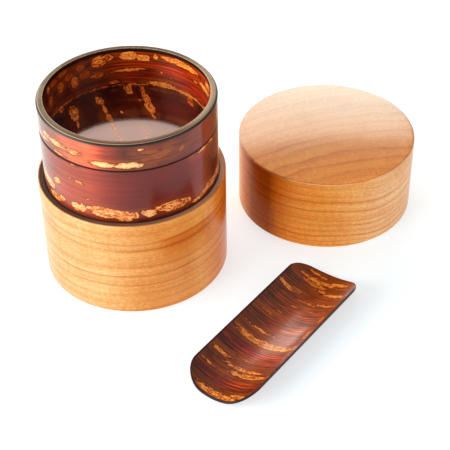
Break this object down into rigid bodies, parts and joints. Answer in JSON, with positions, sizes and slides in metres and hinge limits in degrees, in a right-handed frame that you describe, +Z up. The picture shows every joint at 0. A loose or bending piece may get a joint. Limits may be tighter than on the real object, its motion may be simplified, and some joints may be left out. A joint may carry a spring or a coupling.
{
  "type": "tea canister",
  "caption": "Round cherry-wood tea canister, open: bark-covered neck with a deep dish-shaped inner lid, a slip-on wooden lid standing beside it and a curved bark tea scoop.",
  "frame": {"origin": "centre of the canister's underside, on the table", "axes": "+Z up the canister's axis; +X to the right and +Y away from the viewer of the open set; the lid stands towards +X +Y and the scoop lies towards +X -Y"},
  "size_m": [0.1869, 0.1987, 0.0954],
  "materials": {
    "cherry_veneer": "satin oiled cherry-wood veneer, fine grain running round the walls",
    "wound_wood": "matte edge of wound wood plies, stained brown",
    "polished_bark": "polished cherry bark, dark red-brown with orange lenticels",
    "lacquered_hoop": "semi-gloss lacquer over a turned wooden edge, grey-brown"
  },
  "bodies": {
    "canister": {"sleeve_veneer": "cherry_veneer", "sleeve_core": "wound_wood", "base_veneer": "cherry_veneer", "neck_bark": "polished_bark", "neck_core": "wound_wood", "neck_lining": "polished_bark", "base_core": "wound_wood", "base_bark": "polished_bark"},
    "inner_lid": {"inner_lid_core": "wound_wood", "inner_lid_plug_bark": "polished_bark", "inner_lid_collar": "wound_wood", "inner_lid_bark": "polished_bark", "inner_lid_hoop": "lacquered_hoop", "inner_lid_underside": "polished_bark", "inner_lid_floor_core": "wound_wood", "inner_lid_floor_bark": "polished_bark", "inner_lid_lining": "polished_bark"},
    "lid": {"lid_veneer": "cherry_veneer", "lid_core": "wound_wood", "lid_lining": "polished_bark", "lid_ceiling_bark": "polished_bark", "lid_top_core": "wound_wood", "lid_top_veneer": "cherry_veneer"},
    "scoop": {"scoop_core": "wound_wood", "scoop_face_bark": "polished_bark", "scoop_back_bark": "polished_bark"}
  },
  "joints": [
    {"name": "inner_lid_lift", "type": "slide", "parent": "canister", "child": "inner_lid", "axis": [0, 0, 1], "range_m": [0, 0.06]},
    {"name": "lid_lift", "type": "slide", "parent": "canister", "child": "lid", "axis": [0, 0, 1], "range_m": [0, 0.12]},
    {"name": "scoop_lift", "type": "slide", "parent": "canister", "child": "scoop", "axis": [0, 0, 1], "range_m": [0, 0.12]}
  ]
}
